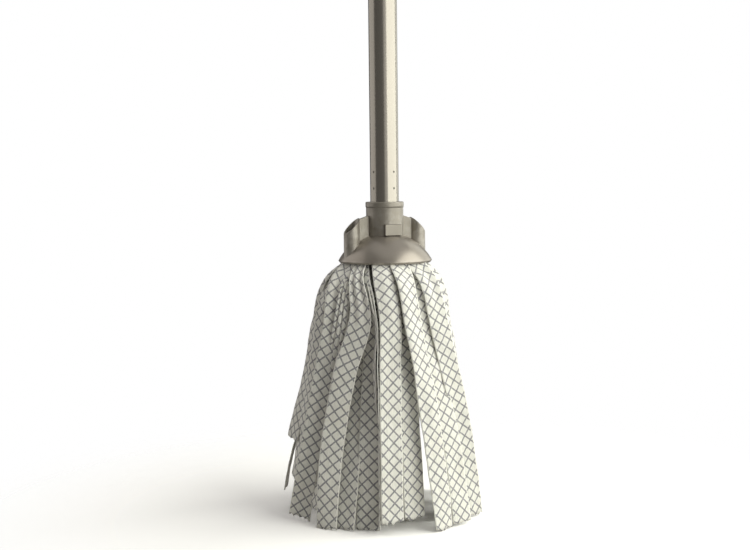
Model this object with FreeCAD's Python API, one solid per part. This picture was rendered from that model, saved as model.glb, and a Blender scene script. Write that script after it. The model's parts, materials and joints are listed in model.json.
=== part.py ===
"""Strip mop: a skirt of cloth strips clamped in a bell, on a two-part telescopic handle.

Millimetres. +Z runs up the handle. The origin is on the handle's axis, on the floor that
the strips' ends reach. The release button faces -Y and the crown's two ears are on +X and -X.
"""
import FreeCAD
import Part
import math
import os

V = FreeCAD.Vector
UP = V(0, 0, 1)
RIGHT = V(1, 0, 0)
BACK = V(0, 1, 0)

# ---- driving dimensions ------------------------------------------------------------
# tubes
TUBE_R = 12.5                 # lower tube, outside
TUBE_WALL = 0.8
UPPER_R = 11.0                # upper tube, outside
UPPER_WALL = 0.7
TUBE_FOOT_Z = 257.0
TUBE_TOP_Z = 800.0
UPPER_FOOT_Z = 360.0          # pushed right in
UPPER_TOP_Z = 958.0

# crimp dimples that hold the tube on its plug
DIMPLE_ROWS_Z = (286.3, 300.6)
DIMPLE_PER_ROW = 4
DIMPLE_FIRST_DEG = -74.5
DIMPLE_BALL_R = 1.0
DIMPLE_DEPTH = 0.6

# bell
RIM_Z = 221.6                 # lowest edge
RIM_WIDE_Z = 223.3            # widest height
RIM_R = 41.2
RIM_FOOT_R = 39.9
RIM_MOUTH_R = 38.6
DOME_TOP_Z = 245.0
DOME_WALL = 2.2
BOSS_FOOT_Z = 230.5
BOSS_R = 16.0
WELL_R = 12.9
WELL_FLOOR_Z = 239.0

# crown
COLLAR_R = 16.35
COLLAR_TOP_Z = 274.6
LIP_R = 16.8
LIP_H = 4.3
SOCKET_R = 12.9
ADAPTER_R = 12.2              # the adapter below the tube
EAR_OFFSET = 32.2
EAR_R = 7.0
EAR_WALL = 1.5
EAR_TOP_Z = 260.7             # slanting top, at the ear's inner side
EAR_FLOOR_Z = 238.5
WEB_THICK = 3.6
WEB_TOP_AT_COLLAR_Z = 262.6
WEB_TOP_AT_EAR_Z = 259.6

# release button, in its window at the collar's foot
BUTTON_W = 15.8
BUTTON_LOW_Z = 245.3
BUTTON_HIGH_Z = 254.9
BUTTON_FACE_Y = -17.1
BUTTON_TRAVEL = 2.5
BUTTON_LIP_W = 18.2
BUTTON_LIP_Y = (-7.2, -5.5)
SPRING_SEAT_Y = 4.4           # where the spring's fixed end bears
WINDOW_GAP = 0.2

# strips
STRIP_W = 20.0
STRIP_HEAD_W = 9.6            # pleated where it is clamped
STRIP_THICK = 0.9
STRIP_HEAD_FOOT_Z = 221.0     # full width below this

# strip clamp
CORE_R = 25.4
CORE_WALL = 2.4
CORE_FOOT_Z = 216.0

# twist lock
SPINDLE_R = 4.0
SPINDLE_FOOT_Z = 317.0
SHOE_R = 11.6
SHOE_Z = (332.0, 356.7)
SHOE_NECK_Z = 348.0
CONE_Z = (324.0, 342.0)
RUN_GAP = 0.08
TAPER_GAP = 0.3

# handle end
GRIP_Z = (838.0, 945.0)
GRIP_R = 14.6
CAP_SHOULDER_Z = 966.0
HANG_HOLE_Z = 980.0
HANG_HOLE_R = 4.5
TANG_R = 11.0
TANG_THICK = 8.0

TUBE_BORE_R = TUBE_R - TUBE_WALL
UPPER_BORE_R = UPPER_R - UPPER_WALL

# the bell's outside is one sphere through the collar's foot and the widest part of the rim
SPHERE_Z = (DOME_TOP_Z + RIM_WIDE_Z - (RIM_R**2 - COLLAR_R**2) / (DOME_TOP_Z - RIM_WIDE_Z)) / 2
SPHERE_R = math.hypot(COLLAR_R, DOME_TOP_Z - SPHERE_Z)


# ---- helpers -----------------------------------------------------------------------
def cyl(r, z0, z1, x=0.0, y=0.0):
    return Part.makeCylinder(r, z1 - z0, V(x, y, z0), UP)


def tube(r_out, r_in, z0, z1):
    return cyl(r_out, z0, z1).cut(cyl(r_in, z0 - 1, z1 + 1))


def block(x0, x1, y0, y1, z0, z1):
    return Part.makeBox(x1 - x0, y1 - y0, z1 - z0, V(x0, y0, z0))


def turned(outline):
    """A solid of revolution about Z from (radius, z) corners."""
    corners = [V(r, 0, z) for r, z in outline]
    face = Part.Face(Part.makePolygon(corners + corners[:1]))
    return face.revolve(V(0, 0, 0), UP, 360)


def prism_y(outline, y0, y1):
    """An (x, z) outline pulled along Y."""
    corners = [V(x, y0, z) for x, z in outline]
    return Part.Face(Part.makePolygon(corners + corners[:1])).extrude(V(0, y1 - y0, 0))


def ball(r, x, y, z):
    return Part.makeSphere(r, V(x, y, z))


def save(name, shape):
    shape = shape.removeSplitter()
    assert shape.isValid(), name
    shape.exportStep("parts/" + name + ".step")
    print(f"{name:16s} solids {len(shape.Solids):2d}  volume {shape.Volume / 1000:8.2f} cm3")


# ---- tubes -------------------------------------------------------------------------
def lower_tube():
    body = tube(TUBE_R, TUBE_BORE_R, TUBE_FOOT_Z, TUBE_TOP_Z)
    reach = TUBE_R - DIMPLE_DEPTH + DIMPLE_BALL_R
    for z in DIMPLE_ROWS_Z:
        for i in range(DIMPLE_PER_ROW):
            a = math.radians(DIMPLE_FIRST_DEG + 360.0 * i / DIMPLE_PER_ROW)
            body = body.cut(ball(DIMPLE_BALL_R, reach * math.cos(a), reach * math.sin(a), z))
    return body


def tube_collar():
    """Guide bush: grips the lower tube's mouth and guides the upper tube."""
    foot, head, r = TUBE_TOP_Z - 14, TUBE_TOP_Z + 11, 14.2
    body = turned([
        (TUBE_R, foot), (r - 0.6, foot), (r, foot + 1.2), (r, head - 2), (r - 1.6, head),
        (UPPER_R + RUN_GAP, head), (UPPER_R + RUN_GAP, TUBE_TOP_Z), (TUBE_R, TUBE_TOP_Z),
    ])
    return body


def upper_tube():
    return tube(UPPER_R, UPPER_BORE_R, UPPER_FOOT_Z, UPPER_TOP_Z)


def grip_sleeve():
    """Soft sleeve with finger grooves."""
    low, high = GRIP_Z
    outline = [(UPPER_R, low), (GRIP_R - 2.0, low), (GRIP_R, low + 5)]
    grooves, pitch = 7, 12.0
    start = low + 16
    for i in range(grooves):
        z = start + i * pitch
        outline += [(GRIP_R, z - 3.2), (GRIP_R - 1.0, z - 1.8), (GRIP_R - 1.0, z + 1.8), (GRIP_R, z + 3.2)]
    outline += [(GRIP_R, high), (UPPER_R, high)]
    return turned(outline)


def hang_cap():
    """End cap: a shoulder over the tube and a rounded tang with the hanging hole."""
    low = GRIP_Z[1]
    shell = turned([
        (UPPER_R, low), (GRIP_R, low), (GRIP_R, CAP_SHOULDER_Z - 6),
        (GRIP_R - 3.5, CAP_SHOULDER_Z), (0, CAP_SHOULDER_Z), (0, UPPER_TOP_Z), (UPPER_R, UPPER_TOP_Z),
    ])
    half = TANG_THICK / 2
    round_top = Part.makeCylinder(TANG_R, TANG_THICK, V(0, -half, HANG_HOLE_Z), BACK)
    neck = block(-TANG_R, TANG_R, -half, half, CAP_SHOULDER_Z - 3, HANG_HOLE_Z)
    body = shell.fuse([round_top, neck])
    hole = Part.makeCylinder(HANG_HOLE_R, TANG_THICK + 20, V(0, -half - 10, HANG_HOLE_Z), BACK)
    return body.cut(hole)


# ---- twist lock --------------------------------------------------------------------
def shoe_taper_r(z):
    """Radius of the shoe's tapered seat, wide at its foot."""
    slope = (9.6 - 5.0) / (SHOE_NECK_Z - SHOE_Z[0])
    return 5.0 + slope * (SHOE_NECK_Z - z)


def lock_spindle():
    plug = cyl(UPPER_BORE_R, UPPER_FOOT_Z, UPPER_FOOT_Z + 22)
    flange = cyl(UPPER_R, UPPER_FOOT_Z - 3, UPPER_FOOT_Z)
    spindle = cyl(SPINDLE_R, SPINDLE_FOOT_Z, UPPER_FOOT_Z)
    return plug.fuse([flange, spindle])


def lock_shoe():
    """Split sleeve, three slits rising from its foot."""
    low, high = SHOE_Z
    bore = SPINDLE_R + RUN_GAP
    body = turned([
        (shoe_taper_r(low), low), (SHOE_R, low), (SHOE_R, high), (bore, high),
        (bore, SHOE_NECK_Z), (shoe_taper_r(SHOE_NECK_Z), SHOE_NECK_Z),
    ])
    for i in range(3):
        slit = block(3, SHOE_R + 2, -0.9, 0.9, low - 1, SHOE_NECK_Z - 2)
        slit.rotate(V(0, 0, 0), UP, 120.0 * i)
        body = body.cut(slit)
    return body


def lock_cone():
    """Wedge nut on the spindle, with three keys that run in the shoe's slits."""
    low, high = CONE_Z
    seat = SHOE_Z[0]
    bore = SPINDLE_R + RUN_GAP
    wide, narrow = shoe_taper_r(seat) - TAPER_GAP, shoe_taper_r(high) - TAPER_GAP
    body = turned([(bore, low), (wide, low), (wide, seat), (narrow, high), (bore, high)])
    for i in range(3):
        key = block(narrow - 1.5, SHOE_R - 0.5, -0.6, 0.6, seat - 4, high - 1)
        key.rotate(V(0, 0, 0), UP, 120.0 * i)
        body = body.fuse(key)
    return body


def spindle_clip():
    return tube(7.0, SPINDLE_R, 319.2, 321.2)


# ---- socket ------------------------------------------------------------------------
def socket_adapter():
    """Plug crimped into the tube, with the button's chamber and the spring's bore below it."""
    upper = cyl(TUBE_BORE_R, TUBE_FOOT_Z, 308.0)
    lower = cyl(ADAPTER_R, WELL_FLOOR_Z, TUBE_FOOT_Z)
    body = upper.fuse(lower).cut(cyl(8.0, TUBE_FOOT_Z + 3, 309.0))
    half = BUTTON_W / 2 + WINDOW_GAP / 2
    low, high = BUTTON_LOW_Z - WINDOW_GAP / 2, BUTTON_HIGH_Z + WINDOW_GAP / 2
    mouth = block(-half, half, -20, BUTTON_LIP_Y[0], low, high)
    lip_half = BUTTON_LIP_W / 2 + 0.15
    chamber = block(-lip_half, lip_half, BUTTON_LIP_Y[0] - 0.1, BUTTON_LIP_Y[1] + BUTTON_TRAVEL + 0.6, low, high)
    spring_z = (BUTTON_LOW_Z + BUTTON_HIGH_Z) / 2
    bore = Part.makeCylinder(3.7, SPRING_SEAT_Y + 4.0, V(0, -4.0, spring_z), BACK)
    return body.cut(mouth.fuse([chamber, bore]))


def release_button():
    half, lip_half = BUTTON_W / 2, BUTTON_LIP_W / 2
    face = block(-half, half, BUTTON_FACE_Y, BUTTON_LIP_Y[0], BUTTON_LOW_Z, BUTTON_HIGH_Z)
    rim = [e for e in face.Edges if abs(e.BoundBox.YMax - BUTTON_FACE_Y) < 1e-6]
    face = face.makeFillet(0.5, rim)
    lip = block(-lip_half, lip_half, BUTTON_LIP_Y[0], BUTTON_LIP_Y[1], BUTTON_LOW_Z, BUTTON_HIGH_Z)
    return face.fuse(lip)


def button_spring():
    """Coil between the button's back and the end of its bore."""
    wire_r, coil_r, turns = 0.5, 2.9, 4
    y0, y1 = BUTTON_LIP_Y[1] + wire_r + 0.05, SPRING_SEAT_Y - wire_r - 0.05
    path = Part.makeHelix((y1 - y0) / turns, y1 - y0, coil_r)
    section = Part.Wire(Part.Circle(V(coil_r, 0, 0), BACK, wire_r).toShape())
    coil = Part.Wire(path.Edges).makePipeShell([section], True, True)
    coil.rotate(V(0, 0, 0), RIGHT, -90)
    coil.translate(V(0, y0, (BUTTON_LOW_Z + BUTTON_HIGH_Z) / 2))
    return coil


def bell_ball(r):
    return ball(r, 0, 0, SPHERE_Z)


def socket_crown():
    """Collar, webs and hollow ears in one moulding, seated on the bell."""
    body = cyl(COLLAR_R, RIM_Z, COLLAR_TOP_Z - LIP_H - 0.6)
    lip = turned([
        (0, COLLAR_TOP_Z - LIP_H), (COLLAR_R, COLLAR_TOP_Z - LIP_H - 1.0), (LIP_R, COLLAR_TOP_Z - LIP_H + 0.2),
        (LIP_R, COLLAR_TOP_Z - 0.8), (LIP_R - 0.3, COLLAR_TOP_Z - 0.2), (LIP_R - 0.9, COLLAR_TOP_Z),
        (0, COLLAR_TOP_Z),
    ])
    pieces = [lip]
    for side in (-1, 1):
        x = side * EAR_OFFSET
        inner = side * (EAR_OFFSET - EAR_R + 0.4)
        ear = cyl(EAR_R, RIM_Z, COLLAR_TOP_Z, x)
        # the ear's top slants down outwards at 45 degrees from EAR_TOP_Z at its inner side
        above = prism_y([
            (x - side * EAR_R, EAR_TOP_Z), (x + side * 30, EAR_TOP_Z - 30 - EAR_R),
            (x + side * 30, 400), (x - side * EAR_R, 400),
        ], -20, 20)
        ear = ear.cut(above)
        web = prism_y([
            (side * SOCKET_R, RIM_Z), (inner, RIM_Z), (inner, WEB_TOP_AT_EAR_Z), (side * COLLAR_R, WEB_TOP_AT_COLLAR_Z),
            (side * SOCKET_R, WEB_TOP_AT_COLLAR_Z),
        ], -WEB_THICK / 2, WEB_THICK / 2)
        pieces += [ear, web]
    body = body.fuse(pieces)
    body = body.cut(cyl(SOCKET_R, RIM_Z - 1, COLLAR_TOP_Z + 1))
    for side in (-1, 1):
        x = side * EAR_OFFSET
        body = body.cut(cyl(EAR_R - EAR_WALL, EAR_FLOOR_Z, 300, x))
        body = body.cut(cyl(1.9, RIM_Z, EAR_FLOOR_Z + 1, x))
    half = BUTTON_W / 2 + WINDOW_GAP
    window = block(-half, half, -30, 0, RIM_Z, BUTTON_HIGH_Z + WINDOW_GAP)
    return body.cut([bell_ball(SPHERE_R), window])


def mop_dome():
    """Bell with a centre boss for the socket's well and two small bosses for the crown's screws."""
    below = block(-90, 90, -90, 90, 0, RIM_WIDE_Z)
    outside = bell_ball(SPHERE_R).cut(below).cut(cyl(60, DOME_TOP_Z, 300))
    edge = turned([(0, RIM_Z), (RIM_FOOT_R, RIM_Z), (RIM_R, RIM_WIDE_Z), (0, RIM_WIDE_Z)])
    hollow = bell_ball(SPHERE_R - DOME_WALL).cut(block(-90, 90, -90, 90, 0, RIM_Z))
    hollow = hollow.common(cyl(RIM_MOUTH_R, RIM_Z - 1, 300))
    shell = outside.fuse(edge).cut(hollow)
    inside = bell_ball(SPHERE_R - DOME_WALL / 2)
    boss = cyl(BOSS_R, BOSS_FOOT_Z, 260).common(inside)
    screw_bosses = [cyl(3.4, BOSS_FOOT_Z, 260, s * EAR_OFFSET).common(inside) for s in (-1, 1)]
    body = shell.fuse([boss] + screw_bosses)
    body = body.cut(cyl(WELL_R, WELL_FLOOR_Z, 300))
    body = body.cut(cyl(2.5, BOSS_FOOT_Z - 1, WELL_FLOOR_Z - 2))
    for side in (-1, 1):
        body = body.cut(cyl(1.7, BOSS_FOOT_Z - 1, 260, side * EAR_OFFSET))
    return body


def crown_screws():
    """Two pan-head screws at the foot of the ears, with crossed slots."""
    screws = []
    for side in (-1, 1):
        x = side * EAR_OFFSET
        head = cyl(3.3, EAR_FLOOR_Z, EAR_FLOOR_Z + 2.2, x)
        shank = cyl(1.7, BOSS_FOOT_Z, EAR_FLOOR_Z, x)
        top = EAR_FLOOR_Z + 2.2
        slots = [
            block(x - 2, x + 2, -0.4, 0.4, top - 1.2, top + 1),
            block(x - 0.4, x + 0.4, -2, 2, top - 1.2, top + 1),
        ]
        screws.append(head.fuse(shank).cut(slots))
    return Part.makeCompound(screws)


# ---- strip clamp -------------------------------------------------------------------
def clamp_core():
    """Cup, open downwards, whose wall squeezes the strips' heads against the bell."""
    inner = CORE_R - CORE_WALL
    plate = BOSS_FOOT_Z - 3
    return turned([
        (2.6, plate), (inner, plate), (inner, CORE_FOOT_Z), (CORE_R - 0.8, CORE_FOOT_Z), (CORE_R, CORE_FOOT_Z + 2),
        (CORE_R, BOSS_FOOT_Z), (2.6, BOSS_FOOT_Z),
    ])


def clamp_screw():
    plate = BOSS_FOOT_Z - 3
    head = cyl(5.0, plate - 3, plate)
    shank = cyl(2.5, plate, WELL_FLOOR_Z - 2)
    slots = [block(-3, 3, -0.6, 0.6, plate - 4, plate - 1.5), block(-0.6, 0.6, -3, 3, plate - 4, plate - 1.5)]
    return head.fuse(shank).cut(slots)


# ---- strips ------------------------------------------------------------------------
# four nested rings, outermost first: how many strips, the first one's bearing, and the (radius, z)
# line they hang along, from the clamped head to the floor
RINGS = (
    (11, 18.0, ((34.0, 228.4), (34.7, 224.2), (36.6, 220.4), (41.0, 216.6), (47.5, 210.0), (54.0, 197.0),
               (58.5, 172.0), (64.0, 138.0), (71.5, 94.0), (79.0, 44.0), (83.4, 0.5))),
    (10, 12.0, ((31.3, 228.4), (31.7, 222.0), (33.4, 215.5), (38.0, 206.5), (44.0, 195.0), (49.0, 178.0),
                (54.5, 145.0), (62.0, 100.0), (70.0, 50.0), (76.0, 0.5))),
    (9, 0.0, ((28.8, 228.4), (29.1, 220.0), (30.6, 211.0), (34.0, 199.0), (38.5, 184.0), (43.0, 160.0),
              (48.0, 120.0), (53.0, 70.0), (57.0, 0.5))),
    (8, 10.0, ((26.3, 228.4), (26.5, 217.0), (27.6, 205.0), (29.6, 190.0), (32.0, 160.0), (34.0, 120.0),
               (36.0, 60.0), (37.0, 0.5))),
)


def offset_line(points, gap):
    """The hanging line moved sideways by gap, square to its own run."""
    moved = []
    for i, (r, z) in enumerate(points):
        ahead = points[min(i + 1, len(points) - 1)]
        behind = points[max(i - 1, 0)]
        dr, dz = ahead[0] - behind[0], ahead[1] - behind[1]
        length = math.hypot(dr, dz)
        moved.append(V(r - gap * dz / length, 0, z + gap * dr / length))
    return moved


def strip(line, bearing):
    """One ribbon: the hanging line given thickness, pulled to the strip's width, pleated at its head."""
    outer, inner = Part.BSplineCurve(), Part.BSplineCurve()
    outer.interpolate(offset_line(line, STRIP_THICK / 2))
    inner.interpolate(offset_line(line, -STRIP_THICK / 2))
    edges = [
        outer.toShape(),
        Part.makeLine(outer.EndPoint, inner.EndPoint),
        inner.toShape(),
        Part.makeLine(inner.StartPoint, outer.StartPoint),
    ]
    face = Part.Face(Part.Wire(Part.__sortEdges__(edges)))
    ribbon = face.extrude(V(0, STRIP_W, 0))
    ribbon.translate(V(0, -STRIP_W / 2, 0))
    near, far = STRIP_HEAD_W / 2, STRIP_W
    for y0, y1 in ((-far, -near), (near, far)):
        ribbon = ribbon.cut(block(0, 60, y0, y1, STRIP_HEAD_FOOT_Z, 240))
    ribbon.rotate(V(0, 0, 0), UP, bearing)
    return ribbon


def strips():
    found = []
    for count, first, line in RINGS:
        for i in range(count):
            found.append(strip(line, first + 360.0 * i / count))
    return found


# ---- write -------------------------------------------------------------------------
os.makedirs("parts", exist_ok=True)

PIECES = (
    lower_tube, tube_collar, upper_tube, grip_sleeve, hang_cap,
    lock_spindle, lock_shoe, lock_cone, spindle_clip,
    socket_adapter, release_button, button_spring, socket_crown, mop_dome, crown_screws,
    clamp_core, clamp_screw,
)
for make in PIECES:
    save(make.__name__, make())
for number, piece in enumerate(strips(), 1):
    save(f"strip_{number:02d}", piece)
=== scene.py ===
"""Strip mop: the looks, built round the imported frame. Metres, same frame as the CAD."""
import bpy
import json
import math
import random
from dataclasses import dataclass

import numpy as np
from mathutils import Matrix, Vector, noise


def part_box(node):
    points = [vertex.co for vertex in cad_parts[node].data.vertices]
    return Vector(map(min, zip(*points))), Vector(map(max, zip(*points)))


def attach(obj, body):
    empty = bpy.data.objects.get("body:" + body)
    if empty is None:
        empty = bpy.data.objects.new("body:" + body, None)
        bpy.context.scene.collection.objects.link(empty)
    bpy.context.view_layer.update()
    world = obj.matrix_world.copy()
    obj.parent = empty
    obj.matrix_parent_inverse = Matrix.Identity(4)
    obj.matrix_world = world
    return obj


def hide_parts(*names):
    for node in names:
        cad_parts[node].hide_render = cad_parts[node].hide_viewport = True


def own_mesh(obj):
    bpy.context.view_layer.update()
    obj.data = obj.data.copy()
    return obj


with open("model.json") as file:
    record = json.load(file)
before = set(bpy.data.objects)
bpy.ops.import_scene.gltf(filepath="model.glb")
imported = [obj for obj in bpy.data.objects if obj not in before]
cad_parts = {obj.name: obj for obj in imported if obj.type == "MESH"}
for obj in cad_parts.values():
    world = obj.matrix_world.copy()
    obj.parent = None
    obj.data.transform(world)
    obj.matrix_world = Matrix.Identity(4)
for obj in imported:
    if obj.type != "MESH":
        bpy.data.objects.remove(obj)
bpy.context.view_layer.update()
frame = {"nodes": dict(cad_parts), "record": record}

BODY = "mop"                  # the body that holds the clamp, so all the cloth rides on it
MM = 0.001

# ---------------------------------------------------------------- places taken from the frame
RIM_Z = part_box("mop_dome")[0].z
TUBE_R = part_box("lower_tube")[1].x
STRIP_NODES = sorted(name for name in frame["nodes"] if name.startswith("strip_"))

# the mop is seen a little from its left, so bearings round the skirt are counted from there:
# 0 faces the viewer, positive to the viewer's right
VIEW_TURN = math.radians(26.0)
RIGHT = Vector((math.cos(VIEW_TURN), -math.sin(VIEW_TURN), 0.0))
AWAY = Vector((math.sin(VIEW_TURN), math.cos(VIEW_TURN), 0.0))


# ---------------------------------------------------------------- shader tools
# object and flat coordinates are in metres, so a noise's scale is its cells in a metre
class Nodes:
    """Short names for building a node tree."""

    def __init__(self, tree):
        self.tree = tree
        self.x = 0

    def add(self, kind, **settings):
        node = self.tree.nodes.new(kind)
        node.location = (self.x, 0)
        self.x += 180
        for key, value in settings.items():
            setattr(node, key, value)
        return node

    def feed(self, socket, value):
        if isinstance(value, bpy.types.NodeSocket):
            self.tree.links.new(value, socket)
        else:
            socket.default_value = value

    def math(self, operation, a, b=0.0, clamp=False):
        node = self.add("ShaderNodeMath", operation=operation, use_clamp=clamp)
        self.feed(node.inputs[0], a)
        self.feed(node.inputs[1], b)
        return node.outputs[0]

    def remap(self, value, low, high, to_low=0.0, to_high=1.0):
        node = self.add("ShaderNodeMapRange", interpolation_type="SMOOTHSTEP")
        for socket, v in zip(node.inputs, (value, low, high, to_low, to_high)):
            self.feed(socket, v)
        return node.outputs[0]

    def mix(self, factor, a, b):
        """The colour a, turning to b as factor goes from 0 to 1."""
        node = self.add("ShaderNodeMix", data_type="RGBA")
        colour_a, colour_b = node.inputs[6], node.inputs[7]
        self.feed(node.inputs[0], factor)
        self.feed(colour_a, a)
        self.feed(colour_b, b)
        return node.outputs[2]

    def noise(self, vector, scale, detail=2.0, rough=0.5, distortion=0.0):
        node = self.add("ShaderNodeTexNoise")
        self.feed(node.inputs["Vector"], vector)
        self.feed(node.inputs["Scale"], scale)
        node.inputs["Detail"].default_value = detail
        node.inputs["Roughness"].default_value = rough
        node.inputs["Distortion"].default_value = distortion
        return node.outputs["Fac"]

    def place(self, vector, scale=(1, 1, 1), turn=0.0):
        node = self.add("ShaderNodeMapping")
        self.feed(node.inputs["Vector"], vector)
        node.inputs["Scale"].default_value = scale
        node.inputs["Rotation"].default_value = (0, 0, turn)
        return node.outputs["Vector"]

    def bump(self, height, strength, distance):
        node = self.add("ShaderNodeBump")
        self.feed(node.inputs["Height"], height)
        node.inputs["Strength"].default_value = strength
        node.inputs["Distance"].default_value = distance
        return node.outputs["Normal"]


SOCKET_KINDS = {"number": "NodeSocketFloat", "vector": "NodeSocketVector"}


def new_group(name, inputs, outputs):
    """A shader group with named (label, kind, default) inputs and (label, kind) outputs."""
    tree = bpy.data.node_groups.new(name, "ShaderNodeTree")
    for label, kind, default in inputs:
        socket = tree.interface.new_socket(name=label, in_out="INPUT", socket_type=SOCKET_KINDS[kind])
        if default is not None:
            socket.default_value = default
    for label, kind in outputs:
        tree.interface.new_socket(name=label, in_out="OUTPUT", socket_type=SOCKET_KINDS[kind])
    n = Nodes(tree)
    given = n.add("NodeGroupInput").outputs
    return tree, n, given, n.add("NodeGroupOutput").inputs


def use_group(n, tree, **values):
    """The outputs of a group placed in a tree. An input's keyword is its label, with _ for a space."""
    node = n.add("ShaderNodeGroup")
    node.node_tree = tree
    for label, value in values.items():
        n.feed(node.inputs[label.replace("_", " ")], value)
    return node.outputs


# ---------------------------------------------------------------- effects shared by materials
def wear_and_shade_masks():
    """Masks for rubbed edges, for the corners and for faint smears. The corner mask brings pale dust on
    plain plastic, painted shade on the pigment finishes and a darker tone on steel.
    """
    tree, n, given, out = new_group(
        "wear_and_shade_masks",
        [("Patch Scale", "number", 160.0)],
        [("Rubbed", "number"), ("Corner Dust And Shade", "number"), ("Smeared", "number")],
    )
    where = n.add("ShaderNodeTexCoord").outputs["Object"]
    # pointiness is near 0.5 on a flat face, above it on an edge and below it in a corner
    shape = n.add("ShaderNodeNewGeometry").outputs["Pointiness"]
    patch = n.noise(where, given["Patch Scale"], 4.0, 0.6)
    rubbed = n.math("MULTIPLY", n.remap(shape, 0.515, 0.60), n.remap(patch, 0.38, 0.62))
    # corners, in patches: pale dust on plain plastic, painted shade on the pigment finishes
    corner_dust_and_shade = n.math("MULTIPLY", n.remap(shape, 0.49, 0.42), n.remap(patch, 0.35, 0.70))
    drawn_down = n.place(where, (1.0, 1.0, 0.25))
    smear = n.noise(drawn_down, 45.0, 3.0, 0.55, distortion=0.6)
    n.feed(out["Rubbed"], rubbed)
    n.feed(out["Corner Dust And Shade"], corner_dust_and_shade)
    n.feed(out["Smeared"], n.remap(smear, 0.45, 0.75))
    return tree


def fine_grain():
    """The fine grain of a moulded or sprayed skin, with the slow swell under it."""
    tree, n, given, out = new_group(
        "fine_grain",
        [("Scale", "number", 2500.0), ("Strength", "number", 0.6), ("Swell", "number", 0.5)],
        [("Value", "number"), ("Height", "number")],
    )
    where = n.add("ShaderNodeTexCoord").outputs["Object"]
    grain = n.noise(where, given["Scale"], 3.0, 0.6)
    swell = n.noise(where, 55.0, 2.0, 0.5)
    fine = n.math("MULTIPLY", grain, given["Strength"])
    slow = n.math("MULTIPLY", swell, given["Swell"])
    n.feed(out["Value"], grain)
    n.feed(out["Height"], n.math("ADD", fine, slow))
    return tree


WEAR_AND_SHADE = wear_and_shade_masks()
GRAIN = fine_grain()


def new_material(name):
    """An empty material, its node builder and its shader's sockets."""
    material = bpy.data.materials.new(name)
    material.use_nodes = True
    material.node_tree.nodes.clear()
    n = Nodes(material.node_tree)
    shader = n.add("ShaderNodeBsdfPrincipled")
    output = n.add("ShaderNodeOutputMaterial")
    n.feed(output.inputs[0], shader.outputs[0])
    return material, n, shader.inputs


# ---------------------------------------------------------------- hard finishes
WORN_PIGMENT = (0.60, 0.57, 0.52, 1)
# near black, painted shade for corners and punched pits
PAINTED_SHADE = (0.05, 0.045, 0.04, 1)
PALE_DUST = (0.32, 0.30, 0.27, 1)
STEEL_DARK = (0.46, 0.46, 0.46, 1)
STEEL_LIGHT = (0.62, 0.62, 0.61, 1)
STEEL_CORNER_DARK = (0.12, 0.11, 0.10, 1)


def pigment_finish(name, dark, light, metallic, rough, grain_scale, swell,
                   pits_below=None, edge_wear=0.30, relief=0.2):
    """Paint or plastic with a metal pigment: flakes, soft clouds, rubbed edges, painted shade in the
    corners.
    Inside the radius pits_below, as in a tube's punched pits, it is painted dark as the pits' shade."""
    material, n, s = new_material(name)
    wear_and_shade = use_group(n, WEAR_AND_SHADE)
    grain = use_group(n, GRAIN, Scale=grain_scale, Swell=swell)
    where = n.add("ShaderNodeTexCoord").outputs["Object"]
    cloud = n.noise(n.place(where, (1.0, 1.0, 0.15)), 60.0, 3.0, 0.55)
    colour = n.mix(n.remap(cloud, 0.3, 0.7), dark, light)
    flakes = n.math("MULTIPLY", n.remap(grain["Value"], 0.52, 0.75), 0.10)
    colour = n.mix(flakes, colour, WORN_PIGMENT)
    colour = n.mix(n.math("MULTIPLY", wear_and_shade["Rubbed"], edge_wear), colour, WORN_PIGMENT)
    # painted shade: the corners darkened towards near black
    painted_shade_share = n.math("MULTIPLY", wear_and_shade["Corner Dust And Shade"], 0.35)
    if pits_below:
        off_axis = n.add("ShaderNodeVectorMath", operation="LENGTH")
        n.feed(off_axis.inputs[0], n.place(where, (1.0, 1.0, 0.0)))
        # painted shade inside the punched pits
        pit_shade = n.remap(off_axis.outputs["Value"], pits_below, pits_below - 0.2 * MM)
        painted_shade_share = n.math("MAXIMUM", painted_shade_share, n.math("MULTIPLY", pit_shade, 0.92))
    n.feed(s["Base Color"], n.mix(painted_shade_share, colour, PAINTED_SHADE))
    s["Metallic"].default_value = metallic
    clouded = n.remap(cloud, 0.2, 0.8, rough - 0.02, rough + 0.03)
    smears = n.math("MULTIPLY", wear_and_shade["Smeared"], 0.04)
    n.feed(s["Roughness"], n.math("ADD", clouded, smears, clamp=True))
    n.feed(s["Normal"], n.bump(grain["Height"], relief, 0.04 * MM))
    return material


def plain_finish(name, dark, light, rough, grain_scale=1800.0, relief=0.35, specular=0.5):
    """Unpigmented moulded plastic or rubber."""
    material, n, s = new_material(name)
    wear_and_shade = use_group(n, WEAR_AND_SHADE)
    grain = use_group(n, GRAIN, Scale=grain_scale)
    where = n.add("ShaderNodeTexCoord").outputs["Object"]
    cloud = n.noise(where, 70.0, 4.0, 0.6)
    colour = n.mix(n.remap(cloud, 0.3, 0.7), dark, light)
    dust = n.math("MULTIPLY", wear_and_shade["Corner Dust And Shade"], 0.4)
    n.feed(s["Base Color"], n.mix(dust, colour, PALE_DUST))
    s["Specular IOR Level"].default_value = specular
    mottled = n.math("ADD", grain["Value"], wear_and_shade["Smeared"])
    n.feed(s["Roughness"], n.remap(mottled, 0.2, 1.6, rough - 0.06, rough + 0.10))
    n.feed(s["Normal"], n.bump(grain["Height"], relief, 0.08 * MM))
    return material


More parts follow.
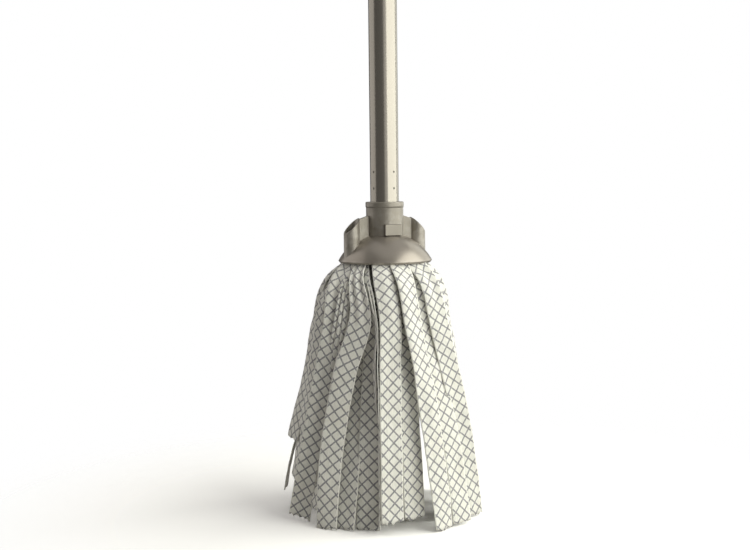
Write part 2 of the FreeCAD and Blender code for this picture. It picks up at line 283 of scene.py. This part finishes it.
def plated_steel(name):
    """Zinc-plated wire and screws, brushed round."""
    material, n, s = new_material(name)
    wear_and_shade = use_group(n, WEAR_AND_SHADE)
    where = n.add("ShaderNodeTexCoord").outputs["Object"]
    brushed = n.noise(n.place(where, (1.0, 1.0, 18.0)), 900.0, 3.0, 0.6)
    colour = n.mix(n.remap(brushed, 0.3, 0.7), STEEL_DARK, STEEL_LIGHT)
    # darker towards the corners
    corner_dark = n.math("MULTIPLY", wear_and_shade["Corner Dust And Shade"], 0.5)
    n.feed(s["Base Color"], n.mix(corner_dark, colour, STEEL_CORNER_DARK))
    s["Metallic"].default_value = 1.0
    n.feed(s["Roughness"], n.remap(brushed, 0.2, 0.8, 0.24, 0.40))
    n.feed(s["Normal"], n.bump(brushed, 0.15, 0.03 * MM))
    return material


# ---------------------------------------------------------------- printed strip cloth
STRIP_W = 20.0 * MM
CLOTH_THICK = 0.8 * MM
PRINT_PITCH = 7.05 * MM       # side of a printed square
LINE_SHARE = 0.18             # line width over the pitch
PRINT_SLANT = math.radians(45)
LANE = 0.1                    # each strip has its own lane of this width in the print coordinates
FLAT = "flat"                 # the UV map that holds a strip's own flat coordinates, in metres
CLOTH_SHADE = (0.745, 0.74, 0.675, 1)
CLOTH_LIGHT = (0.87, 0.86, 0.795, 1)
CLOTH_STAIN = (0.74, 0.69, 0.59, 1)
SLATE_INK = (0.165, 0.165, 0.19, 1)


def cloth_print():
    """The slanting lattice, as ink, on a strip's flat coordinates."""
    tree, n, given, out = new_group(
        "cloth_print",
        [("Flat", "vector", None), ("Pitch", "number", PRINT_PITCH), ("Line Share", "number", LINE_SHARE)],
        [("Ink", "number")],
    )
    wander = n.add("ShaderNodeTexNoise")
    n.feed(wander.inputs["Vector"], given["Flat"])
    wander.inputs["Scale"].default_value = 420.0
    wander.inputs["Detail"].default_value = 3.0
    shifted = n.add("ShaderNodeVectorMath", operation="MULTIPLY_ADD")
    n.feed(shifted.inputs[0], wander.outputs["Color"])
    shifted.inputs[1].default_value = (0.6 * MM, 0.6 * MM, 0.0)
    n.feed(shifted.inputs[2], given["Flat"])
    slanted = n.add("ShaderNodeSeparateXYZ")
    n.feed(slanted.inputs[0], n.place(shifted.outputs[0], turn=PRINT_SLANT))
    # ink runs out between three quarters and one and a third of a line's half width
    half = n.math("MULTIPLY", given["Line Share"], 0.5)
    lines = []
    for axis in (0, 1):
        turns = n.math("DIVIDE", slanted.outputs[axis], given["Pitch"])
        off_line = n.math("PINGPONG", turns, 0.5)
        full_ink = n.math("MULTIPLY", half, 0.75)
        no_ink = n.math("MULTIPLY", half, 1.3)
        lines.append(n.remap(off_line, no_ink, full_ink))
    n.feed(out["Ink"], n.math("MAXIMUM", lines[0], lines[1]))
    return tree


def tangled_fibres():
    """Short fibres lying every way in a nonwoven cloth, as a height and a streak value."""
    tree, n, given, out = new_group(
        "tangled_fibres",
        [("Flat", "vector", None), ("Scale", "number", 1400.0)],
        [("Height", "number"), ("Streak", "number")],
    )
    layers = []
    for lie in (12.0, 67.0, 128.0):
        drawn_out = n.place(given["Flat"], (1.0, 0.16, 1.0), math.radians(lie))
        layers.append(n.noise(drawn_out, given["Scale"], 3.0, 0.6, distortion=0.8))
    height = n.math("MAXIMUM", n.math("MAXIMUM", layers[0], layers[1]), layers[2])
    n.feed(out["Height"], height)
    n.feed(out["Streak"], n.math("MULTIPLY", n.math("ADD", layers[0], layers[1]), 0.5))
    return tree


PRINT = cloth_print()
FIBRES = tangled_fibres()


def printed_area(n, flat):
    """1 where a strip's faces take print: not on its cut faces, nor in the fluffy edge beside them."""
    # each strip's middle lies at a whole multiple of LANE in u; the cut faces lie at negative v
    place = n.add("ShaderNodeSeparateXYZ")
    n.feed(place.inputs[0], flat)
    lane = n.add("ShaderNodeMath", operation="PINGPONG")
    n.feed(lane.inputs[0], place.outputs[0])
    lane.inputs[1].default_value = LANE / 2
    inward = n.math("SUBTRACT", STRIP_W / 2, lane.outputs[0])
    fray = n.remap(n.noise(flat, 700.0), 0.3, 0.7, 0.3 * MM, 1.1 * MM)
    on_face = n.math("GREATER_THAN", place.outputs[1], 0.0)
    return n.math("MULTIPLY", n.math("GREATER_THAN", inward, fray), on_face)


def strip_cloth(name):
    """Off-white nonwoven cloth with the slate lattice; its cut edges are bare and fluffy."""
    material, n, s = new_material(name)
    flat = n.add("ShaderNodeUVMap", uv_map=FLAT).outputs["UV"]
    ink = use_group(n, PRINT, Flat=flat)["Ink"]
    fibres = use_group(n, FIBRES, Flat=flat)
    crumple = n.noise(flat, 160.0, 4.0, 0.55, distortion=0.4)
    stain = n.noise(flat, 28.0, 3.0, 0.6)
    cloth = n.mix(n.remap(fibres["Streak"], 0.35, 0.65), CLOTH_SHADE, CLOTH_LIGHT)
    stained = n.math("MULTIPLY", n.remap(stain, 0.45, 0.75), 0.22)
    cloth = n.mix(stained, cloth, CLOTH_STAIN)
    # the ink is thinner where fibres stand up through it
    cover = n.math("MULTIPLY", ink, n.remap(fibres["Height"], 0.72, 0.50, 0.55, 0.90))
    inked = n.math("MULTIPLY", cover, printed_area(n, flat))
    n.feed(s["Base Color"], n.mix(inked, cloth, SLATE_INK))
    n.feed(s["Roughness"], n.remap(ink, 0.0, 1.0, 0.92, 0.72))
    s["Specular IOR Level"].default_value = 0.25
    s["Sheen Weight"].default_value = 0.25
    s["Sheen Roughness"].default_value = 0.5
    weave = n.math("MULTIPLY", fibres["Height"], 0.55)
    crumpled = n.math("ADD", weave, n.math("MULTIPLY", crumple, 2.4))
    relief = n.math("ADD", crumpled, n.math("MULTIPLY", ink, 0.35))
    n.feed(s["Normal"], n.bump(relief, 0.55, 0.22 * MM))
    return material


FINISHES = {
    "tube_paint": pigment_finish(
        "tube_paint", (0.305, 0.285, 0.248, 1), (0.325, 0.303, 0.265, 1), metallic=0.8, rough=0.20,
        grain_scale=3200.0, swell=0.05, pits_below=TUBE_R - 0.1 * MM, edge_wear=0.0, relief=0.06),
    "upper_paint": pigment_finish(
        "upper_paint", (0.30, 0.275, 0.25, 1), (0.33, 0.30, 0.27, 1), metallic=0.8, rough=0.22,
        grain_scale=3200.0, swell=0.05, edge_wear=0.0, relief=0.06),
    "crown_plastic": pigment_finish(
        "crown_plastic", (0.244, 0.223, 0.187, 1), (0.264, 0.241, 0.203, 1), metallic=0.35, rough=0.34,
        grain_scale=2400.0, swell=0.15),
    "bell_plastic": pigment_finish(
        "bell_plastic", (0.300, 0.270, 0.232, 1), (0.322, 0.290, 0.250, 1), metallic=0.65, rough=0.29,
        grain_scale=2400.0, swell=0.10),
    "adapter_plastic": plain_finish(
        "adapter_plastic", (0.030, 0.028, 0.026, 1), (0.045, 0.042, 0.040, 1), rough=0.5),
    "dark_plastic": plain_finish(
        "dark_plastic", (0.040, 0.038, 0.037, 1), (0.055, 0.052, 0.050, 1), rough=0.45),
    "lock_plastic": plain_finish(
        "lock_plastic", (0.55, 0.55, 0.52, 1), (0.62, 0.62, 0.60, 1), rough=0.4),
    "grip_rubber": plain_finish(
        "grip_rubber", (0.028, 0.028, 0.028, 1), (0.042, 0.041, 0.040, 1), rough=0.68,
        grain_scale=1200.0, relief=0.6, specular=0.35),
    "steel": plated_steel("steel"),
    "strip_cloth": strip_cloth("strip_cloth"),
}


# ---------------------------------------------------------------- the carried-over nodes
MOULDED_RADII = {
    "socket_crown": 0.4 * MM,
    "mop_dome": 0.5 * MM,
    "release_button": 0.3 * MM,
    "hang_cap": 0.8 * MM,
}
SHARP_ANGLE = math.radians(35.0)         # edges that bend more than this get their moulded radius


def finish_frame():
    """Every carried-over node gets its material by the record's slot."""
    for part in frame["record"]["subparts"]:
        node = frame["nodes"][part["node"]]
        node.data.materials.clear()
        node.data.materials.append(FINISHES[part["material_slot"]])


def soften_edges(name, radius):
    """A small moulded radius on a hard node's edges."""
    bevel = frame["nodes"][name].modifiers.new("moulded_radius", "BEVEL")
    bevel.width = radius
    bevel.segments = 3
    bevel.limit_method = "ANGLE"
    bevel.angle_limit = SHARP_ANGLE
    bevel.harden_normals = True


def let_spring_give():
    """The coil behind the button gets a mesh of its own."""
    coil = frame["nodes"]["button_spring"]
    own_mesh(coil)


# ---------------------------------------------------------------- how a strip hangs
# radius and height, in millimetres, of the line that each ring's strips hang along
RING_LINES = {
    1: ((33.6, 228.0), (34.7, 224.2), (36.8, 220.6), (41.0, 217.2), (47.5, 211.0), (54.2, 197.5),
        (58.8, 172.0), (63.6, 140.0), (71.0, 95.0), (78.5, 45.0), (83.5, 1.0)),
    2: ((31.3, 228.0), (32.0, 223.5), (34.5, 218.0), (39.5, 213.0), (45.5, 205.5), (51.0, 192.0),
        (55.5, 165.0), (60.5, 130.0), (67.0, 90.0), (73.0, 45.0), (78.0, 1.0)),
    3: ((28.8, 228.0), (29.4, 220.0), (31.5, 211.0), (35.0, 199.0), (39.5, 184.0), (44.0, 160.0),
        (50.0, 120.0), (56.0, 70.0), (62.0, 1.0)),
    4: ((26.3, 228.0), (26.6, 217.0), (28.0, 205.0), (30.5, 190.0), (33.5, 160.0), (37.0, 120.0),
        (41.0, 60.0), (45.0, 1.0)),
}
LINE_POINTS = 400             # points that a ring's line is worked out at, before a strip is cut to length
SMOOTHINGS = 3                # passes that take the last corners out of a strip's middle
ROWS = 84
COLUMNS = 16
LIE_Z = 1.2 * MM              # the height at which a foot lies on the floor
FLOOR_GAP = 0.3 * MM          # the least height of a foot's underside
NIPPED = 0.3                  # share of a pleat's depth left where the clamp presses it flat
NIP_OPENS = 9.0               # how fast that share grows with the drop
SWAY = 1.5 * MM               # the slow unevenness of limp cloth
SWAY_ACROSS, SWAY_ALONG = 55, 34         # its swings in a metre
SWAY_LOOSE_BY = 0.25          # the share of the drop where it has its full depth
RIPPLE = 0.5 * MM             # the quicker unevenness on it
RIPPLE_RATE = 2.7             # how much quicker
SHIFT_ACROSS, SHIFT_IN = 3.1, 7.7        # from one strip's unevenness to the next one's
CUT_WANDER = 1.3 * MM         # how far a cut end strays from one thread line to the next
PRINT_STARTS = (1.0 * MM, 20.0 * MM)     # where in the print a strip's head may be cut
LIE_SEED, CUT_SEED = 500, 1000           # where the seeds start for how strips lie and are cut
DROP_STOPS = (0.0, 0.16, 0.40, 0.70, 1.0)      # shares of the height below the rim


@dataclass
class Hang:
    """How one strip hangs. bearing, reach and turn are given at the DROP_STOPS."""

    ring: int                          # the ring whose line it follows
    bearing: tuple                     # of its middle, in degrees
    reach: tuple = (1, 1, 1, 1, 1)     # its radius over its ring's
    turn: tuple = (0, 0, 0, 0, 0)      # degrees that its face turns from outwards: it faces bearing - turn
    gather: float = 0.6                # its width at the head over its flat width, taken up in pleats
    pleats: float = 1.5                # how many of them cross it
    open_by: float = 0.26              # the share of the drop where they have opened out
    cup: float = 0.0                   # curve across it, in 1/m; above 0 its edges stand outwards
    foot: float = 1.0                  # height of its lower end, in millimetres
    seed: int = 0                      # its number in the skirt, for its chance and its lane of print


def smooth_through(knots, values, where):
    """Values at the places in where, on a smooth curve through the values at the knots."""
    knots, values = np.asarray(knots, float), np.asarray(values, float)
    slope = np.gradient(values, knots, axis=0)
    where = np.clip(where, knots[0], knots[-1])
    i = np.clip(np.searchsorted(knots, where, side="right") - 1, 0, len(knots) - 2)
    h = knots[i + 1] - knots[i]
    t = (where - knots[i]) / h
    if values.ndim > 1:
        h, t = h[:, None], t[:, None]
    # the four terms of a cubic with a value and a slope at either end
    start, leaving = 2 * t**3 - 3 * t**2 + 1, t**3 - 2 * t**2 + t
    end, arriving = -2 * t**3 + 3 * t**2, t**3 - t**2
    return (start * values[i] + leaving * h * slope[i]
            + end * values[i + 1] + arriving * h * slope[i + 1])


def length_run(line):
    """Running length of a polyline at each of its points."""
    return np.concatenate([[0.0], np.cumsum(np.linalg.norm(np.diff(line, axis=0), axis=1))])


def unit(v):
    """The vectors along v's last axis, one long."""
    return v / np.maximum(np.linalg.norm(v, axis=-1, keepdims=True), 1e-12)


def drop_share(height):
    """0 at the bell's rim and above, 1 at the floor."""
    return np.clip((RIM_Z - height) / RIM_Z, 0, 1)


def centre_line(hang):
    """The strip's middle, as points at even steps of its own length, down to its foot's height,
    and the length run at each."""
    line = np.array(RING_LINES[hang.ring]) * MM
    runs = length_run(line)
    fine = smooth_through(runs, line, np.linspace(0, runs[-1], LINE_POINTS))
    radius, height = fine[:, 0], fine[:, 1]
    drop = drop_share(height)
    radius = radius * smooth_through(DROP_STOPS, hang.reach, drop)
    bearing = np.radians(smooth_through(DROP_STOPS, hang.bearing, drop))
    points = np.stack([radius * np.sin(bearing), -radius * np.cos(bearing), height], axis=1)
    points = points[height >= hang.foot * MM - 1e-9]
    runs = length_run(points)
    even = np.linspace(0, runs[-1], ROWS + 1)
    line = np.stack([np.interp(even, runs, points[:, k]) for k in range(3)], axis=1)
    for _ in range(SMOOTHINGS):
        line[1:-1] = (line[:-2] + 2 * line[1:-1] + line[2:]) / 4
    line[:, 2] = np.maximum(line[:, 2], LIE_Z)
    return line, even


def strip_axes(line, turn):
    """Unit vectors across the strip and out of its face, at each point of its middle."""
    run = unit(np.gradient(line, axis=0))
    outward = unit(line * (1, 1, 0))
    sideways = np.stack([-outward[:, 1], outward[:, 0], np.zeros(len(line))], axis=1)
    sideways = unit(sideways - run * (sideways * run).sum(1, keepdims=True))
    facing = np.cross(run, sideways)
    facing *= np.sign((facing * outward).sum(1, keepdims=True) + 1e-9)
    across = sideways * np.cos(turn) + facing * np.sin(turn)
    face = facing * np.cos(turn) - sideways * np.sin(turn)
    return across, face


def strip_surface(hang):
    """Rows of points across the strip, in the viewer's axes, with each column's place across it and
    each row's length run."""
    rng = random.Random(hang.seed)
    line, even = centre_line(hang)
    drop = drop_share(line[:, 2])
    across, face = strip_axes(line, np.radians(smooth_through(DROP_STOPS, hang.turn, drop))[:, None])
    # squeezed into pleats at the head, flat lower down
    share = np.clip(drop / hang.open_by, 0, 1)
    share = share * share * (3 - 2 * share)
    width = hang.gather + (1 - hang.gather) * share
    wave = 2 * math.pi * hang.pleats / STRIP_W
    nipped = np.clip(NIPPED + NIP_OPENS * drop, 0, 1)
    depth = np.sqrt(np.maximum(2 * (1 - width**2), 0)) / wave * nipped
    phase = rng.uniform(0, 2 * math.pi)
    x = np.linspace(-STRIP_W / 2, STRIP_W / 2, COLUMNS + 1)
    pleat = np.sin(wave * x[None, :] + phase) * depth[:, None]
    cup = hang.cup * (x[None, :] ** 2 - STRIP_W**2 / 12) * share[:, None]
    surface = line[:, None, :] + across[:, None, :] * (x[None, :] * width[:, None])[:, :, None]
    surface = surface + face[:, None, :] * (pleat + cup)[:, :, None]
    for i in range(ROWS + 1):
        loose = min(1.0, drop[i] / SWAY_LOOSE_BY)
        for j in range(COLUMNS + 1):
            spot = Vector((x[j] * SWAY_ACROSS + hang.seed * SHIFT_ACROSS, even[i] * SWAY_ALONG,
                           hang.seed * SHIFT_IN))
            sway = noise.noise(spot) * SWAY + noise.noise(spot * RIPPLE_RATE) * RIPPLE
            surface[i, j] += face[i] * sway * loose
    surface[:, :, 2] = np.maximum(surface[:, :, 2], LIE_Z)
    return surface, x, even


def ragged(rng, count):
    """How far each thread line of a cut end runs past or short of the cut."""
    ends, value = [], 0.0
    for _ in range(count):
        value = 0.5 * value + rng.uniform(-CUT_WANDER, CUT_WANDER)
        ends.append(value)
    return np.array(ends)


def strip_faces():
    """The faces of a closed strip: its front and back points in rows, front layer first. Its two
    broad sides come before its cut faces."""
    rows, columns = range(ROWS), range(COLUMNS)

    def at(i, j, layer=0):
        return (layer * (ROWS + 1) + i) * (COLUMNS + 1) + j

    faces = []
    for i in rows:
        for j in columns:
            faces.append((at(i, j), at(i + 1, j), at(i + 1, j + 1), at(i, j + 1)))
            faces.append((at(i, j, 1), at(i, j + 1, 1), at(i + 1, j + 1, 1), at(i + 1, j, 1)))
    for i in rows:
        faces.append((at(i, 0), at(i, 0, 1), at(i + 1, 0, 1), at(i + 1, 0)))
        faces.append((at(i, COLUMNS), at(i + 1, COLUMNS), at(i + 1, COLUMNS, 1), at(i, COLUMNS, 1)))
    for j in columns:
        faces.append((at(0, j), at(0, j + 1), at(0, j + 1, 1), at(0, j, 1)))
        faces.append((at(ROWS, j), at(ROWS, j, 1), at(ROWS, j + 1, 1), at(ROWS, j + 1)))
    return faces


def lay_flat(mesh, u, v):
    """The UV map of the strip's flat coordinates. Its cut faces have a negative v."""
    flat = mesh.uv_layers.new(name=FLAT)
    broad_faces = 2 * ROWS * COLUMNS
    for face in mesh.polygons:
        sign = 1 if face.index < broad_faces else -1
        for loop in face.loop_indices:
            k = mesh.loops[loop].vertex_index % len(u)
            flat.data[loop].uv = (u[k], sign * v[k])


def add_strip(name, hang):
    """One strip as a closed mesh of real thickness with its flat coordinates as a UV map."""
    rng = random.Random(hang.seed + CUT_SEED)
    surface, x, even = strip_surface(hang)
    step = unit(surface[-1] - surface[-2])
    surface[-1] += step * ragged(rng, COLUMNS + 1)[:, None]
    down = np.gradient(surface, axis=0)
    side = np.gradient(surface, axis=1)
    normal = unit(np.cross(down, side))
    front = surface + normal * CLOTH_THICK / 2
    back = surface - normal * CLOTH_THICK / 2
    points = np.concatenate([front.reshape(-1, 3), back.reshape(-1, 3)])
    points[:, 2] = np.maximum(points[:, 2], FLOOR_GAP)
    world = points[:, :1] * np.array(RIGHT) + points[:, 1:2] * np.array(AWAY)
    world[:, 2] += points[:, 2]
    mesh = bpy.data.meshes.new(name + "_cloth")
    mesh.from_pydata([tuple(p) for p in world], [], strip_faces())
    u = np.tile(x + LANE * hang.seed, ROWS + 1)
    v = np.repeat(even + rng.uniform(*PRINT_STARTS), COLUMNS + 1)
    lay_flat(mesh, u, v)
    mesh.materials.append(FINISHES["strip_cloth"])
    mesh.shade_smooth()
    cloth = bpy.data.objects.new(name + "_cloth", mesh)
    bpy.context.collection.objects.link(cloth)
    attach(cloth, BODY)
    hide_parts(name)


def shaped_strips():
    """The strips whose lie is given one by one: those that show from the front, and a few behind."""
    return {
        # outer ring, from the left silhouette round the front to the right one
        "strip_04": Hang(1, (-116, -110, -106, -104, -104), (1, 1, 1.0, 1.03, 1.04),
                         (-10, -10, -6, 0, 0), gather=0.8, foot=30),
        "strip_05": Hang(1, (-86, -86, -86, -88, -90), (1.0, 1.05, 1.04, 1.11, 1.16),
                         (0, -12, -24, -28, -20), gather=0.75, foot=66),
        "strip_06": Hang(1, (-58, -48, -52, -57, -65), (1.0, 1.01, 1.02, 1.03, 1.02),
                         (-8, -38, -36, -38, -42), gather=0.85, open_by=0.2, cup=5, foot=3),
        "strip_07": Hang(1, (-36, -22.4, -32.5, -38.4, -39), (1.0, 1.0, 1.01, 1.01, 1.0),
                         (0, -2, -20, -30, -6), gather=0.62, pleats=2.0, open_by=0.24, cup=-5),
        "strip_08": Hang(1, (-3.5, 2.6, 2.4, 2.0, 2.2), (1.0, 1.03, 1.02, 1.02, 1.02),
                         (-6, -17, -25, -24, -16), gather=0.96, pleats=0.8, open_by=0.3, foot=10),
        "strip_09": Hang(1, (18.5, 21.2, 27, 31, 33.5), (1.0, 1.0, 1.02, 1.02, 1.02),
                         (6, 0, -8, -6, -10), gather=0.9, pleats=0.5, open_by=0.5, cup=-4),
        "strip_10": Hang(1, (46, 48, 57, 64, 68), (1.0, 1.0, 0.99, 0.98, 0.97),
                         (10, 12, 24, 30, 24), gather=0.95, open_by=0.2, cup=4, foot=2),
        "strip_11": Hang(1, (76, 74, 82, 86, 88), (0.96, 0.93, 0.92, 0.93, 0.95),
                         (0, 8, 14, 12, 10), gather=0.85),
        # second ring, in the gaps between them
        "strip_12": Hang(2, (128, 129, 130, 132, 134), gather=0.8),
        "strip_13": Hang(2, (164, 165, 168, 170, 172), gather=0.8),
        "strip_15": Hang(2, (-112, -104, -98, -96, -97), (1, 1, 1.04, 1.15, 1.24),
                         (0, -10, -8, -4, 0), foot=18),
        "strip_16": Hang(2, (-72, -67, -72, -79, -82), (1.02, 1.08, 1.06, 1.10, 1.11),
                         (-10, -24, -20, -12, -10), gather=0.9, foot=33),
        "strip_17": Hang(2, (-44, -40, -47, -51, -54), (1.08, 1.1, 1.04, 1.02, 1.03),
                         (0, -14, -6, 0, 8), gather=0.5, pleats=3.0, open_by=0.75, foot=14),
        "strip_18": Hang(2, (-14, -12.5, -13.5, -13.6, -14.5), (0.90, 0.82, 0.82, 0.90, 0.93),
                         (20, 14, 6, 0, -2), gather=0.7, pleats=1.0, cup=-12),
        "strip_19": Hang(2, (9, 11.5, 15.8, 17.2, 17.2), (1.0, 0.98, 0.94, 0.96, 0.96),
                         (0, -8, -12, -14, -12), foot=10),
        "strip_20": Hang(2, (34, 37, 44, 48.5, 48.5), (1.0, 0.98, 0.99, 1.04, 1.08),
                         (0, 2, 6, 10, 14), gather=0.8, foot=2),
        "strip_21": Hang(2, (64, 66, 72, 78, 82), (0.98, 0.98, 0.96, 0.98, 0.98),
                         (0, 0, 6, 8, 4), gather=0.9),
        # the third ring's front strip reaches out beside the outer ring's; the next two are folds seen
        # edge on, which follow the second ring's line
        "strip_27": Hang(3, (-43, -41, -35, -30, -29), (1, 1, 0.92, 1.1, 1.24),
                         (0, 0, 0, 4, 8), gather=0.7),
        "strip_28": Hang(2, (-32, -11.6, -7.8, -6.3, -5.8), (0.93, 0.97, 1.01, 1.0, 1.0),
                         (54, 75, 80, 82, 84), gather=0.5, pleats=1.0, open_by=0.16, cup=-6, foot=5),
        "strip_36": Hang(2, (-42, -14.8, -10.6, -9, -8), (0.90, 0.97, 0.95, 0.67, 0.58),
                         (44, 72, 77, 80, 70), gather=0.5, pleats=1.0, open_by=0.16, cup=-6),
        # kept to the sides, so that the slot beside the front right strips stays open
        "strip_23": Hang(3, (156, 158, 163, 167, 170), gather=0.7),
        "strip_29": Hang(3, (38, 40, 46, 52, 56), (1, 1, 1, 1, 0.98), (0, 0, 6, 10, 10), gather=0.7),
        "strip_31": Hang(4, (126, 130, 140, 148, 152), gather=0.7),
        "strip_37": Hang(4, (30, 28, 20, 14, 10), gather=0.7),
        "strip_38": Hang(4, (81, 80, 76, 74, 72), (1, 1, 1.02, 1.08, 1.1), gather=0.7),
    }


# the rings, outermost first: how many strips, and the first one's angle from +X, in degrees
RINGS = ((11, 18.0), (10, 12.0), (9, 0.0), (8, 10.0))
SWEEP_SHARES = (0, 0.2, 0.5, 0.8, 1)      # how far a strip has swept round at each of the DROP_STOPS


def spaced_strips():
    """Every strip, placed by its ring's spacing and a little chance."""
    hangs, number = {}, 0
    for ring, (count, first) in enumerate(RINGS, 1):
        for i in range(count):
            rng = random.Random(LIE_SEED + number)
            base = first + 360.0 * i / count + 90.0 + math.degrees(VIEW_TURN)
            base = (base + 180.0) % 360.0 - 180.0
            sweep = rng.uniform(-7, 7)
            bend = rng.uniform(-4, 4)
            bends = (0, 0, bend, bend, 0)
            bearing = tuple(base + share * sweep + extra for share, extra in zip(SWEEP_SHARES, bends))
            spread = rng.uniform(-0.03, 0.04)
            reach = (1.0, 1.0, 1.0 + 0.4 * spread, 1.0 + 0.8 * spread, 1.0 + spread)
            twist = rng.uniform(-22, 22)
            turn = (0.0, 0.3 * twist, twist, twist * rng.uniform(0.2, 1.2), rng.uniform(-15, 15))
            number += 1
            hangs[f"strip_{number:02d}"] = Hang(
                ring, bearing, reach, turn, gather=rng.uniform(0.6, 0.85), cup=rng.uniform(-8, 8),
                foot=rng.uniform(1.0, 9.0), seed=number,
            )
    return hangs


def build_strips():
    """The shaped strips stand in for the spaced ones of the same name."""
    hangs = spaced_strips()
    for name, hang in shaped_strips().items():
        hang.seed = hangs[name].seed
        hangs[name] = hang
    for name in STRIP_NODES:
        add_strip(name, hangs[name])


# ---------------------------------------------------------------- stage
FLOOR_HALF = 3.0
FLOOR_FADES = (0.16, 0.45)               # distances from the mop where the floor starts and ends fading out
FLOOR_SEEN = (1.24, 1.235, 1.22, 1)      # as pale as the background
FLOOR_BOUNCE = (0.46, 0.45, 0.43, 1)     # what it throws back at the mop
SKY_SEEN = (1, 1, 1, 1)
SKY_FILL = (1.0, 0.96, 0.93, 1)
FILL_STRENGTH = 0.15                     # the background is 1 bright where it is seen, and this as light


def pale_floor_material():
    """White where it is seen, duller as a light on the mop, and clear further out."""
    material = bpy.data.materials.new("floor_white")
    material.use_nodes = True
    material.node_tree.nodes.clear()
    n = Nodes(material.node_tree)
    seen = n.add("ShaderNodeLightPath").outputs["Is Camera Ray"]
    diffuse = n.add("ShaderNodeBsdfDiffuse")
    n.feed(diffuse.inputs["Color"], n.mix(seen, FLOOR_BOUNCE, FLOOR_SEEN))
    bare = n.add("ShaderNodeBsdfTransparent")
    away = n.add("ShaderNodeVectorMath", operation="LENGTH")
    n.feed(away.inputs[0], n.add("ShaderNodeTexCoord").outputs["Object"])
    blend = n.add("ShaderNodeMixShader")
    n.feed(blend.inputs[0], n.remap(away.outputs["Value"], *FLOOR_FADES))
    n.feed(blend.inputs[1], diffuse.outputs[0])
    n.feed(blend.inputs[2], bare.outputs[0])
    n.feed(n.add("ShaderNodeOutputMaterial").inputs[0], blend.outputs[0])
    return material


def floor():
    """A pale floor round the mop that runs out into the white background."""
    mesh = bpy.data.meshes.new("floor")
    corners = [(x * FLOOR_HALF, y * FLOOR_HALF, 0) for x, y in ((-1, -1), (1, -1), (1, 1), (-1, 1))]
    mesh.from_pydata(corners, [], [(0, 1, 2, 3)])
    mesh.materials.append(pale_floor_material())
    sheet = bpy.data.objects.new("floor", mesh)
    bpy.context.collection.objects.link(sheet)


def viewer_point(right, away, up):
    """A place given as the viewer sees it from the mop's foot."""
    return RIGHT * right + AWAY * away + Vector((0, 0, up))


def softbox(name, place, aim, size, power, colour=(1, 1, 1)):
    """A rectangular light at place, facing aim, with its power in watts."""
    data = bpy.data.lights.new(name, "AREA")
    data.shape = "RECTANGLE"
    data.size, data.size_y = size
    data.energy = power
    data.color = colour
    lamp = bpy.data.objects.new(name, data)
    lamp.location = place
    lamp.rotation_euler = (aim - place).to_track_quat("-Z", "Y").to_euler()
    bpy.context.collection.objects.link(lamp)


def wall_light(name, near, far, low, high, radiance, colour):
    """An upright softbox between two (right, away) points on the ground plan."""
    a, b = viewer_point(*near, (low + high) / 2), viewer_point(*far, (low + high) / 2)
    middle = (a + b) / 2
    width, tall = (a - b).length, high - low
    power = radiance * math.pi * width * tall
    softbox(name, middle, Vector((0, 0, middle.z)), (width, tall), power, colour)


def lights():
    """A large key light on the right that runs round to the back, a weak fill on the left, a soft one
    in front and one above."""
    wall_light("key_right", near=(1.00, -1.40), far=(1.10, 0.75), low=0.12, high=1.9,
               radiance=3.1, colour=(0.995, 1.0, 0.93))
    wall_light("key_back", near=(1.10, 0.75), far=(0.90, 1.50), low=-0.1, high=1.9,
               radiance=1.3, colour=(0.995, 1.0, 0.93))
    wall_light("fill_left", near=(-1.00, -0.35), far=(-0.90, 0.90), low=0.0, high=1.7,
               radiance=0.86, colour=(1.0, 0.965, 0.93))
    wall_light("front", near=(0.15, -2.0), far=(1.20, -1.75), low=0.0, high=1.5,
               radiance=0.80, colour=(1.0, 0.985, 0.95))
    skirt = Vector((0, 0, 0.14))
    softbox("top", viewer_point(0.2, 0.1, 1.9), aim=skirt, size=(1.8, 1.8), power=4.5)


def background():
    """White where it is seen, and a weak warm fill as light."""
    world = bpy.data.worlds.new("studio")
    bpy.context.scene.world = world
    world.use_nodes = True
    world.node_tree.nodes.clear()
    n = Nodes(world.node_tree)
    seen = n.add("ShaderNodeLightPath").outputs["Is Camera Ray"]
    ground = n.add("ShaderNodeBackground")
    n.feed(ground.inputs["Color"], n.mix(seen, SKY_FILL, SKY_SEEN))
    more_where_seen = n.math("MULTIPLY", seen, 1 - FILL_STRENGTH)
    n.feed(ground.inputs["Strength"], n.math("ADD", more_where_seen, FILL_STRENGTH))
    n.feed(n.add("ShaderNodeOutputWorld").inputs[0], ground.outputs[0])
    bpy.context.scene.view_settings.view_transform = "Standard"


def camera():
    """A long lens about 1.1 m away, a little above the collar, looking slightly down."""
    distance, height, aside = 1.116, 0.294, -0.0091
    pitch, lean = math.radians(4.3), math.radians(0.64)
    data = bpy.data.cameras.new("camera")
    data.lens = 60.9
    data.sensor_width = 36.0
    data.clip_start = 0.01
    eye = bpy.data.objects.new("camera", data)
    eye.location = viewer_point(aside, -distance, height)
    look = AWAY * math.cos(pitch) - Vector((0, 0, math.sin(pitch)))
    level = look.to_track_quat("-Z", "Y").to_matrix().to_4x4()
    eye.rotation_euler = (level @ Matrix.Rotation(-lean, 4, "Z")).to_euler()
    bpy.context.collection.objects.link(eye)
    bpy.context.scene.camera = eye


finish_frame()
for part, radius in MOULDED_RADII.items():
    soften_edges(part, radius)
let_spring_give()
build_strips()
floor()
lights()
background()
camera()
